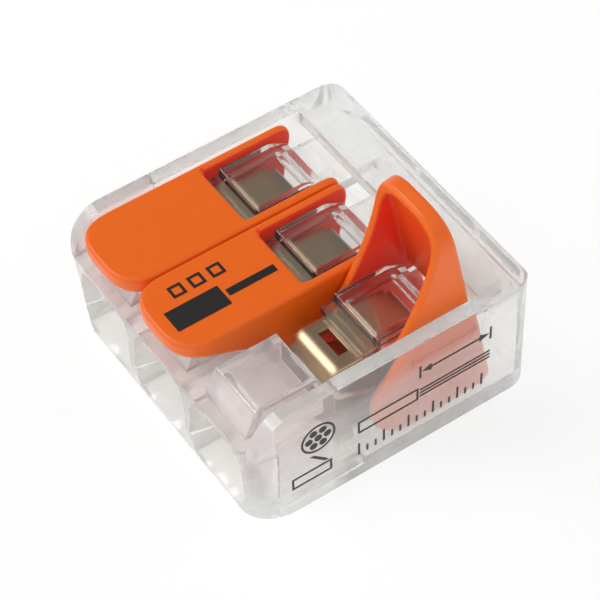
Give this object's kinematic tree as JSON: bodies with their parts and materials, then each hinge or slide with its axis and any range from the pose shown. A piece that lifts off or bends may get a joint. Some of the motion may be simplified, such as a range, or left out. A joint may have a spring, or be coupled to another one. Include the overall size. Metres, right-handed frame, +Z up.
{
  "type": "lever wire connector",
  "caption": "Clear splicing connector with orange clamping levers that lift to open steel spring clamps over a common current bar; one lever stands open.",
  "frame": {"origin": "centre of the housing's footprint, on its underside", "axes": "+X across the poles, wire entries face -Y, +Z up"},
  "size_m": [0.0186, 0.0186, 0.0153],
  "materials": {
    "clear_housing": "polished clear polycarbonate",
    "orange_lever": "satin moulded",
    "spring_steel": "rolled chrome nickel steel strip",
    "tinned_copper": "tin plated"
  },
  "bodies": {
    "root": {"housing_shell": "clear_housing", "entry_block": "clear_housing", "current_bar": "tinned_copper", "clamp_spring_1": "spring_steel", "clamp_spring_2": "spring_steel", "clamp_spring_3": "spring_steel"},
    "lever_1": {"lever_1": "orange_lever"},
    "lever_2": {"lever_2": "orange_lever"},
    "lever_3": {"lever_3": "orange_lever"},
    "clamp_leg_1": {"clamp_leg_1": "spring_steel"},
    "clamp_leg_2": {"clamp_leg_2": "spring_steel"},
    "clamp_leg_3": {"clamp_leg_3": "spring_steel"}
  },
  "joints": [
    {"name": "lever_1_hinge", "type": "hinge", "parent": "root", "child": "lever_1", "pos_m": [-0.0056, 0.0016, 0.0038], "axis": [-1, 0, 0], "range_deg": [0, 79]},
    {"name": "clamp_leg_1_bend", "type": "hinge", "parent": "root", "child": "clamp_leg_1", "pos_m": [-0.0056, -0.0022, 0.00615], "axis": [1, 0, 0], "range_deg": [0, 25.28]},
    {"name": "lever_2_hinge", "type": "hinge", "parent": "root", "child": "lever_2", "pos_m": [0, 0.0016, 0.0038], "axis": [-1, 0, 0], "range_deg": [0, 79]},
    {"name": "clamp_leg_2_bend", "type": "hinge", "parent": "root", "child": "clamp_leg_2", "pos_m": [0, -0.0022, 0.00615], "axis": [1, 0, 0], "range_deg": [0, 25.28]},
    {"name": "lever_3_hinge", "type": "hinge", "parent": "root", "child": "lever_3", "pos_m": [0.0056, 0.0016, 0.0038], "axis": [-1, 0, 0], "range_deg": [-79, 0]},
    {"name": "clamp_leg_3_bend", "type": "hinge", "parent": "root", "child": "clamp_leg_3", "pos_m": [0.0056, -0.0022, 0.00615], "axis": [1, 0, 0], "range_deg": [-25.28, 0]}
  ],
  "couplings": [
    {"joint": "clamp_leg_1_bend", "follows": "lever_1_hinge", "ratio": 0.32},
    {"joint": "clamp_leg_2_bend", "follows": "lever_2_hinge", "ratio": 0.32},
    {"joint": "clamp_leg_3_bend", "follows": "lever_3_hinge", "ratio": 0.32}
  ]
}
